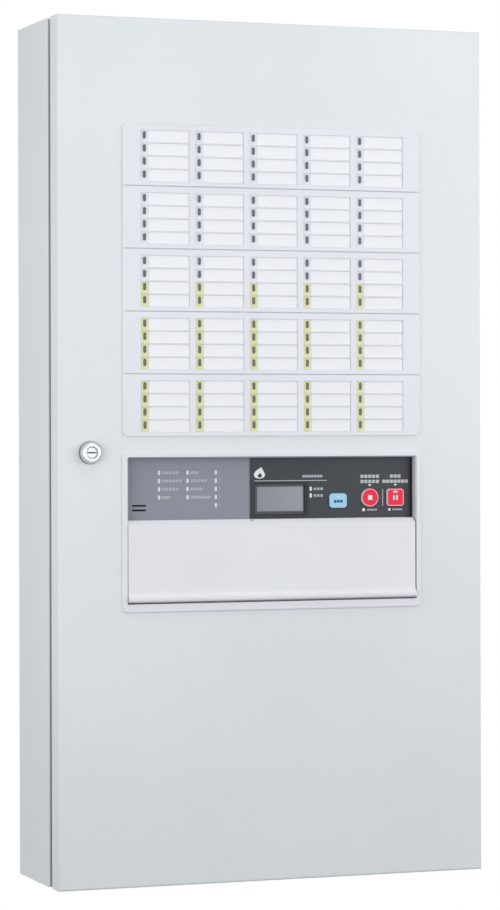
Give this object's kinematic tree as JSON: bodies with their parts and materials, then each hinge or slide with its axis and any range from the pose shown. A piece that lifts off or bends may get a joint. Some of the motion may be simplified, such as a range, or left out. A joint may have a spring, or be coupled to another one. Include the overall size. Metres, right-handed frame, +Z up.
{
  "type": "fire alarm control panel",
  "caption": "Wall-hung fire alarm control panel: steel cabinet with a hinged door, stacked zone windows, operation unit with keys behind a bezel, drop-down flap and cam lock.",
  "frame": {"origin": "middle of the wall bolt pattern on the cabinet's back face", "axes": "+X to the right seen from the front, +Z up, the door faces -Y and the wall lies at Y = 0"},
  "size_m": [0.5025, 0.163, 0.9526],
  "materials": {
    "painted_steel": "satin",
    "zinc_steel": "satin",
    "core_steel": "matte",
    "copper_wire": "satin",
    "chrome_metal": "polished",
    "brass_metal": "satin",
    "white_plastic": "satin",
    "grey_plastic": "satin",
    "dark_plastic": "satin",
    "lens_white": "gloss",
    "clear_plastic": "gloss",
    "display_grey": "satin",
    "red_plastic": "gloss",
    "blue_plastic": "gloss",
    "yellow_film": "satin",
    "label_card": "matte",
    "circuit_board": "satin",
    "black_rubber": "matte"
  },
  "bodies": {
    "cabinet": {"back_box": "painted_steel", "front_frame": "painted_steel", "cable_grommets": "black_rubber", "chassis_plate": "zinc_steel", "chassis_screws": "zinc_steel", "terminal_strips": "dark_plastic", "terminal_screws": "brass_metal", "wire_ducts": "grey_plastic", "line_board": "circuit_board", "relay_board": "circuit_board", "power_supply": "zinc_steel", "transformer_core": "core_steel", "transformer_coil": "copper_wire", "mains_switch": "white_plastic", "battery_tray": "zinc_steel", "battery_pack": "dark_plastic", "strike_plate": "zinc_steel", "box_hinges": "zinc_steel", "hinge_pins": "zinc_steel", "door_loom": "black_rubber"},
    "mains_lever": {"mains_lever": "dark_plastic"},
    "door": {"door_panel": "painted_steel", "door_stiffeners": "painted_steel", "door_gasket": "black_rubber", "door_hinges": "zinc_steel", "zone_unit_1": "white_plastic", "zone_unit_2": "white_plastic", "zone_unit_3": "white_plastic", "zone_unit_4": "white_plastic", "zone_unit_5": "white_plastic", "zone_cards": "label_card", "zone_lenses": "dark_plastic", "zone_markers": "yellow_film", "zone_boards": "circuit_board", "clamp_bars": "zinc_steel", "unit_screws": "zinc_steel", "operation_bezel": "white_plastic", "indicator_tray": "grey_plastic", "display_panel": "dark_plastic", "display_lens": "clear_plastic", "display_module": "display_grey", "status_lenses": "lens_white", "speaker": "dark_plastic", "control_board": "circuit_board", "switch_deck": "white_plastic", "phone_jack": "chrome_metal", "lock_body": "chrome_metal", "lock_nut": "zinc_steel"},
    "lock": {"lock_plug": "chrome_metal", "lock_cam": "zinc_steel", "cam_screw": "zinc_steel"},
    "flap": {"flap": "white_plastic", "flap_pins": "zinc_steel"},
    "guide_key": {"guide_key": "blue_plastic"},
    "stop_key": {"stop_key": "red_plastic"},
    "bell_key": {"bell_key": "red_plastic"},
    "reset_key": {"reset_key": "grey_plastic"},
    "test_key": {"test_key": "grey_plastic"},
    "chime_slide": {"chime_slide": "dark_plastic"},
    "zone_dial": {"zone_dial": "dark_plastic"}
  },
  "joints": [
    {"name": "door_hinge", "type": "hinge", "parent": "cabinet", "child": "door", "pos_m": [0.248, -0.1225, 0], "axis": [0, 0, 1], "range_deg": [0, 120], "deforming": ["door_loom"]},
    {"name": "lock_turn", "type": "hinge", "parent": "door", "child": "lock", "pos_m": [-0.214, -0.154, 0], "axis": [0, -1, 0], "range_deg": [0, 90]},
    {"name": "flap_hinge", "type": "hinge", "parent": "door", "child": "flap", "pos_m": [-0.001, -0.15455, -0.1581], "axis": [1, 0, 0], "range_deg": [0, 105]},
    {"name": "guide_key_press", "type": "slide", "parent": "door", "child": "guide_key", "axis": [0, 1, 0], "range_m": [0, 0.0015], "stiffness_N_per_m": 900},
    {"name": "stop_key_press", "type": "slide", "parent": "door", "child": "stop_key", "axis": [0, 1, 0], "range_m": [0, 0.0015], "stiffness_N_per_m": 900},
    {"name": "bell_key_press", "type": "slide", "parent": "door", "child": "bell_key", "axis": [0, 1, 0], "range_m": [0, 0.0015], "stiffness_N_per_m": 900},
    {"name": "reset_key_press", "type": "slide", "parent": "door", "child": "reset_key", "axis": [0, 1, 0], "range_m": [0, 0.0015], "stiffness_N_per_m": 900},
    {"name": "test_key_press", "type": "slide", "parent": "door", "child": "test_key", "axis": [0, 1, 0], "range_m": [0, 0.0015], "stiffness_N_per_m": 900},
    {"name": "chime_slide_move", "type": "slide", "parent": "door", "child": "chime_slide", "axis": [1, 0, 0], "range_m": [0, 0.008]},
    {"name": "zone_dial_turn", "type": "hinge", "parent": "door", "child": "zone_dial", "pos_m": [0.049, -0.146, -0.1104], "axis": [0, 1, 0], "range_deg": [0, 300]},
    {"name": "mains_lever_tip", "type": "hinge", "parent": "cabinet", "child": "mains_lever", "pos_m": [0.159, -0.0706, -0.147], "axis": [1, 0, 0], "range_deg": [0, 40]}
  ]
}
